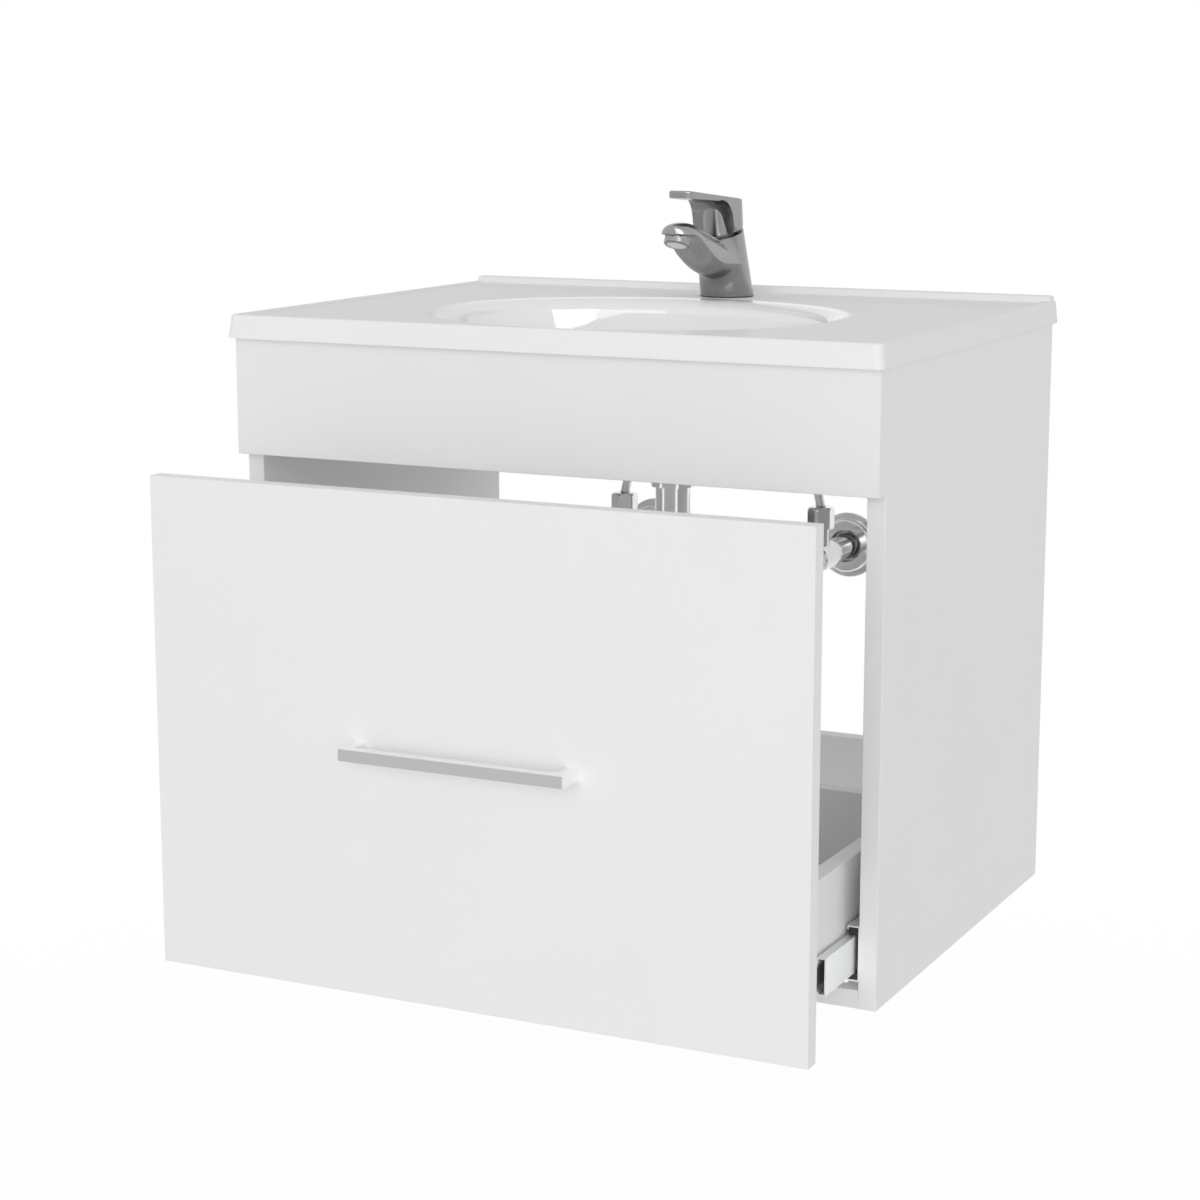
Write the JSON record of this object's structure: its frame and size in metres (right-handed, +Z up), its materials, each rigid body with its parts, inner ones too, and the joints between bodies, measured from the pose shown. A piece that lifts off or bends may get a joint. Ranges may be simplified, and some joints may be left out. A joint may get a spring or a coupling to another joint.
{
  "type": "wall-hung vanity unit with sink",
  "caption": "White wall-hung vanity unit: moulded top with an oval sink and upstand, mixer tap, one deep drawer with a bar handle on telescopic slides, waste trap and supply valves.",
  "frame": {"origin": "midway between the two wall-screw holes of the hanging rail, on the wall plane", "axes": "+X to the right as seen from the front, +Y into the wall, +Z up"},
  "size_m": [0.5784, 0.618, 0.6206],
  "materials": {
    "white_board": "white melamine foil, satin",
    "cast_basin": "glossy white cast top",
    "zinc_steel": "zinc-plated sheet",
    "black_plastic": "black moulded plastic",
    "white_plastic": "pale moulded plastic",
    "rubber": "soft black rubber",
    "tap_chrome": "polished chrome",
    "pipe_chrome": "polished chrome",
    "satin_metal": "satin brushed",
    "hose_braid": "braided steel wire"
  },
  "bodies": {
    "cabinet": {"side_panel_left": "white_board", "side_panel_right": "white_board", "apron_panel": "white_board", "hanging_rail": "white_board", "lower_rail": "white_board", "front_rail": "white_board", "side_cleats": "white_board", "basin_top": "cast_basin", "slide_outer_left": "zinc_steel", "slide_outer_right": "zinc_steel", "cabinet_screws": "zinc_steel", "cam_locks": "zinc_steel", "faucet_stud": "zinc_steel", "faucet_washer": "zinc_steel", "faucet_nut": "zinc_steel", "slide_bumpers": "black_plastic", "apron_brackets": "white_plastic", "faucet_cartridge": "white_plastic", "faucet_gasket": "rubber", "drain_gasket": "rubber", "faucet_body": "tap_chrome", "faucet_aerator": "tap_chrome", "drain_flange": "pipe_chrome", "drain_nut": "pipe_chrome", "tailpipe": "pipe_chrome", "trap_nuts": "pipe_chrome", "trap_body": "pipe_chrome", "trap_cup": "pipe_chrome", "trap_arm": "pipe_chrome", "waste_rosette": "pipe_chrome", "valve_body_left": "pipe_chrome", "valve_body_right": "pipe_chrome", "valve_rosette_left": "pipe_chrome", "valve_rosette_right": "pipe_chrome", "hose_nut_left": "pipe_chrome", "hose_nut_right": "pipe_chrome", "hose_tip_left": "pipe_chrome", "hose_tip_right": "pipe_chrome", "hose_left": "hose_braid", "hose_right": "hose_braid"},
    "drawer": {"drawer_front": "white_board", "drawer_side_left": "white_board", "drawer_side_right": "white_board", "drawer_back": "white_board", "drawer_bottom": "white_board", "drawer_handle": "satin_metal", "handle_screws": "zinc_steel", "drawer_cam_locks": "zinc_steel", "slide_inner_left": "zinc_steel", "slide_inner_right": "zinc_steel", "drawer_slide_screws": "zinc_steel"},
    "left_slide": {"slide_middle_left": "zinc_steel"},
    "right_slide": {"slide_middle_right": "zinc_steel"},
    "mixer_swivel": {"cartridge_carrier": "white_plastic"},
    "lever": {"mixer_lever": "tap_chrome", "lever_pin": "zinc_steel"},
    "left_knob": {"valve_knob_left": "pipe_chrome"},
    "right_knob": {"valve_knob_right": "pipe_chrome"},
    "stopper": {"drain_stopper": "pipe_chrome"}
  },
  "joints": [
    {"name": "drawer_slide", "type": "slide", "parent": "cabinet", "child": "drawer", "axis": [0, -1, 0], "range_m": [-0.1265, 0.2]},
    {"name": "left_slide_travel", "type": "slide", "parent": "cabinet", "child": "left_slide", "axis": [0, -1, 0], "range_m": [-0.06325, 0.1]},
    {"name": "right_slide_travel", "type": "slide", "parent": "cabinet", "child": "right_slide", "axis": [0, -1, 0], "range_m": [-0.06325, 0.1]},
    {"name": "lever_swivel", "type": "hinge", "parent": "cabinet", "child": "mixer_swivel", "pos_m": [0, -0.065, 0.0692], "axis": [0, -0.2924, 0.9563], "range_deg": [-45, 45]},
    {"name": "lever_lift", "type": "hinge", "parent": "mixer_swivel", "child": "lever", "pos_m": [0, -0.07355, 0.13958], "axis": [-1, 0, 0], "range_deg": [0, 15]},
    {"name": "left_knob_turn", "type": "hinge", "parent": "cabinet", "child": "left_knob", "pos_m": [-0.098, -0.105, -0.1625], "axis": [0, -1, 0], "range_deg": [0, 90]},
    {"name": "right_knob_turn", "type": "hinge", "parent": "cabinet", "child": "right_knob", "pos_m": [0.098, -0.105, -0.1625], "axis": [0, -1, 0], "range_deg": [0, 90]},
    {"name": "stopper_lift", "type": "slide", "parent": "cabinet", "child": "stopper", "axis": [0, 0, 1], "range_m": [0, 0.0066]}
  ],
  "couplings": [
    {"joint": "left_slide_travel", "follows": "drawer_slide", "ratio": 0.5},
    {"joint": "right_slide_travel", "follows": "drawer_slide", "ratio": 0.5}
  ]
}
